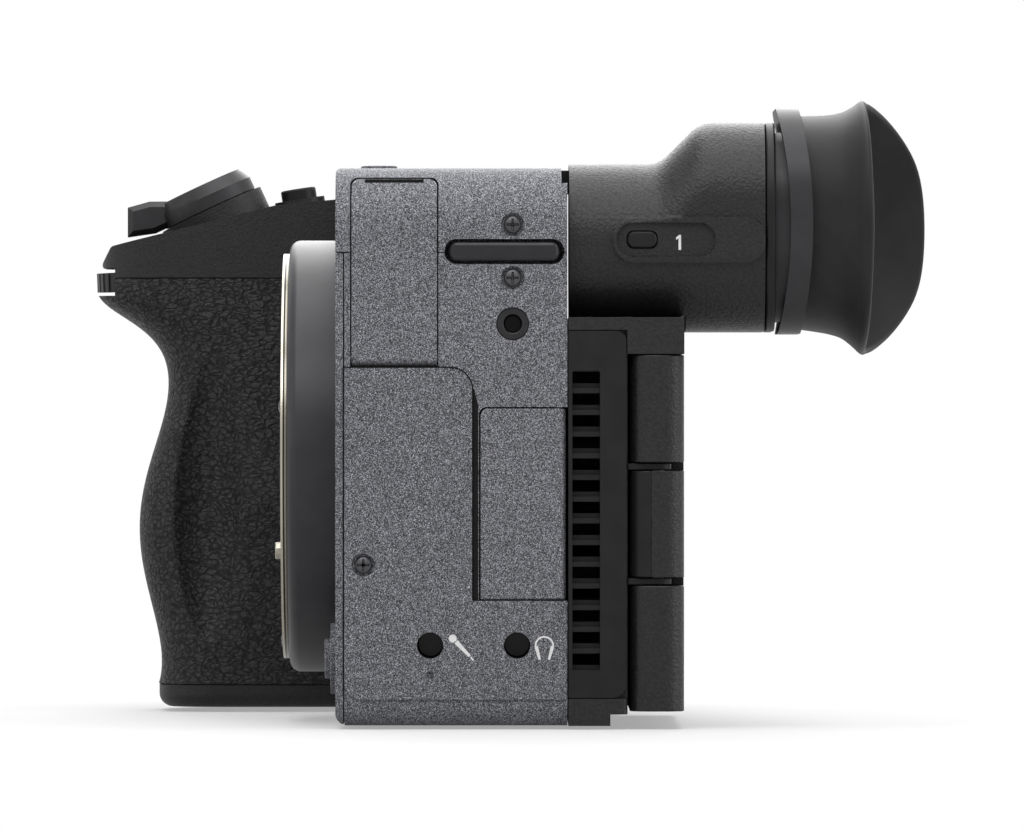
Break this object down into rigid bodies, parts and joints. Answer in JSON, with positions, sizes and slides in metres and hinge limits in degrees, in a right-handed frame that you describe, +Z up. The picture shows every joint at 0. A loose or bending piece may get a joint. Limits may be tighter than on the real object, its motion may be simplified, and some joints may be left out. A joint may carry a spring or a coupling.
{
  "type": "cinema camera",
  "caption": "Compact cinema camera body with hand grip, lens mount, side doors, cooling vent, swing-out monitor and tilting viewfinder with a rubber eyecup.",
  "frame": {"origin": "mouth of the tripod socket in the base, under the lens axis", "axes": "+Z up, lens looks along -Y, port side with doors and jacks faces +X, hand grip on -X"},
  "size_m": [0.1293, 0.1209, 0.0877],
  "materials": {
    "silver_paint": "fine speckled metallic grey paint",
    "black_plastic": "fine pebbled black",
    "black_metal": "satin dark anodised",
    "steel": "satin",
    "rubber": "matte black",
    "grip_rubber": "leather grain",
    "glass": "coated glass",
    "screen": "gloss black",
    "brass": "contacts"
  },
  "bodies": {
    "camera": {"audio_jacks": "steel", "base_plate": "silver_paint", "battery": "black_plastic", "chassis": "black_metal", "clamp_socket": "black_metal", "contact_block": "brass", "data_ports": "steel", "fan_stator": "black_plastic", "front_cover": "silver_paint", "grip_core": "black_plastic", "grip_deck": "black_plastic", "grip_skin": "grip_rubber", "hinge_brackets": "black_metal", "hinge_pins": "steel", "hot_shoe": "black_metal", "light_box": "black_metal", "mount_collar": "black_metal", "mount_ring": "steel", "rear_cover": "black_plastic", "screws": "steel", "sensor_frame": "black_metal", "sensor_glass": "glass", "side_cover": "silver_paint", "side_panel": "silver_paint", "strap_bar": "black_metal", "thread_sockets": "steel", "top_cover": "silver_paint", "vent_baffle": "black_plastic", "vent_panel": "black_plastic"},
    "viewfinder": {"evf_housing": "black_plastic", "evf_rear_frame": "black_plastic", "eyepiece_lens": "glass", "eyecup_frame": "black_metal", "eyecup": "rubber"},
    "viewfinder_key": {"evf_button": "black_metal"},
    "monitor": {"monitor_shell": "black_plastic", "monitor_bezel": "black_plastic", "monitor_glass": "screen", "hinge_block": "black_metal", "hinge_cover": "black_metal"},
    "display_door": {"hdmi_door": "silver_paint"},
    "data_door": {"usb_door": "silver_paint"},
    "battery_hatch": {"battery_door": "black_plastic"},
    "card_hatch": {"card_door": "black_plastic"},
    "front_dial": {"front_dial": "black_metal"},
    "rear_dial": {"rear_dial": "black_metal"},
    "zoom_lever": {"zoom_lever": "black_metal"},
    "shutter_button": {"shutter_button": "black_metal"},
    "record_button": {"record_button": "black_metal"},
    "power_switch": {"power_switch": "black_metal"},
    "control_wheel": {"control_wheel": "black_metal"},
    "wheel_button": {"wheel_button": "black_plastic"},
    "menu_button": {"menu_button": "black_plastic"},
    "autofocus_button": {"autofocus_button": "black_plastic"},
    "play_button": {"play_button": "black_plastic"},
    "joystick": {"joystick": "rubber"},
    "top_button": {"top_button": "silver_paint"},
    "lens_release": {"lens_release": "silver_paint"},
    "lock_pin": {"lock_pin": "steel"},
    "fan_rotor": {"fan_rotor": "black_plastic"}
  },
  "joints": [
    {"name": "viewfinder_tilt", "type": "hinge", "parent": "camera", "child": "viewfinder", "pos_m": [0.027, 0.015, 0.0761], "axis": [1, 0, 0], "range_deg": [0, 90]},
    {"name": "viewfinder_key_press", "type": "slide", "parent": "viewfinder", "child": "viewfinder_key", "axis": [-1, 0, 0], "range_m": [0, 0.0006], "stiffness_N_per_m": 250},
    {"name": "monitor_swing", "type": "hinge", "parent": "camera", "child": "monitor", "pos_m": [0.047, 0.0248, 0.0281], "axis": [0, 0, -1], "range_deg": [0, 176]},
    {"name": "display_door_hinge", "type": "hinge", "parent": "camera", "child": "display_door", "pos_m": [0.0489, -0.0118, 0.0512], "axis": [0, 1, 0], "range_deg": [0, 90]},
    {"name": "data_door_hinge", "type": "hinge", "parent": "camera", "child": "data_door", "pos_m": [0.0489, 0.011, 0.031], "axis": [0, 0, 1], "range_deg": [0, 90]},
    {"name": "battery_hatch_hinge", "type": "hinge", "parent": "camera", "child": "battery_hatch", "pos_m": [-0.0508, -0.021, 0.001], "axis": [0, -1, 0], "range_deg": [0, 90]},
    {"name": "card_hatch_hinge", "type": "hinge", "parent": "camera", "child": "card_hatch", "pos_m": [-0.0781, 0.0108, 0.036], "axis": [0, 0, -1], "range_deg": [0, 90]},
    {"name": "front_dial_turn", "type": "hinge", "parent": "camera", "child": "front_dial", "pos_m": [-0.062, -0.0481, 0.0632], "axis": [0, -0.0349, 0.9994], "continuous": true},
    {"name": "rear_dial_turn", "type": "hinge", "parent": "camera", "child": "rear_dial", "pos_m": [-0.064, 0.0034, 0.0768], "axis": [0, 0, 1], "continuous": true},
    {"name": "zoom_lever_turn", "type": "hinge", "parent": "camera", "child": "zoom_lever", "pos_m": [-0.062, -0.0392, 0.0719], "axis": [0, -0.4226, 0.9063], "range_deg": [-20, 20], "stiffness_Nm_per_rad": 0.01},
    {"name": "shutter_press", "type": "slide", "parent": "camera", "child": "shutter_button", "axis": [0, 0.4226, -0.9063], "range_m": [0, 0.0008], "stiffness_N_per_m": 250},
    {"name": "record_press", "type": "slide", "parent": "camera", "child": "record_button", "axis": [0, 0.1564, -0.9877], "range_m": [0, 0.0006], "stiffness_N_per_m": 250},
    {"name": "power_switch_turn", "type": "hinge", "parent": "camera", "child": "power_switch", "pos_m": [-0.062, -0.0125, 0.0764], "axis": [0, 0, 1], "range_deg": [0, 60]},
    {"name": "control_wheel_turn", "type": "hinge", "parent": "camera", "child": "control_wheel", "pos_m": [-0.062, 0.021, 0.031], "axis": [0, 1, 0], "continuous": true},
    {"name": "wheel_button_press", "type": "slide", "parent": "camera", "child": "wheel_button", "axis": [0, -1, 0], "range_m": [0, 0.0006], "stiffness_N_per_m": 250},
    {"name": "menu_press", "type": "slide", "parent": "camera", "child": "menu_button", "axis": [0, -1, 0], "range_m": [0, 0.0006], "stiffness_N_per_m": 250},
    {"name": "autofocus_press", "type": "slide", "parent": "camera", "child": "autofocus_button", "axis": [0, -1, 0], "range_m": [0, 0.0006], "stiffness_N_per_m": 250},
    {"name": "play_press", "type": "slide", "parent": "camera", "child": "play_button", "axis": [0, -1, 0], "range_m": [0, 0.0006], "stiffness_N_per_m": 250},
    {"name": "joystick_tilt", "type": "hinge", "parent": "camera", "child": "joystick", "pos_m": [-0.04, 0.0182, 0.051], "axis": [1, 0, 0], "range_deg": [-8, 8], "stiffness_Nm_per_rad": 0.005},
    {"name": "top_button_press", "type": "slide", "parent": "camera", "child": "top_button", "axis": [0, 0, -1], "range_m": [0, 0.0006], "stiffness_N_per_m": 250},
    {"name": "lens_release_press", "type": "slide", "parent": "camera", "child": "lens_release", "axis": [0, 1, 0], "range_m": [0, 0.0008], "stiffness_N_per_m": 250},
    {"name": "lock_pin_draw", "type": "slide", "parent": "camera", "child": "lock_pin", "axis": [0, 1, 0], "range_m": [0, 0.0008]},
    {"name": "fan_turn", "type": "hinge", "parent": "camera", "child": "fan_rotor", "pos_m": [0.029, 0.0149, 0.029], "axis": [0, 1, 0], "continuous": true}
  ],
  "couplings": [
    {"joint": "lock_pin_draw", "follows": "lens_release_press", "ratio": 1}
  ]
}
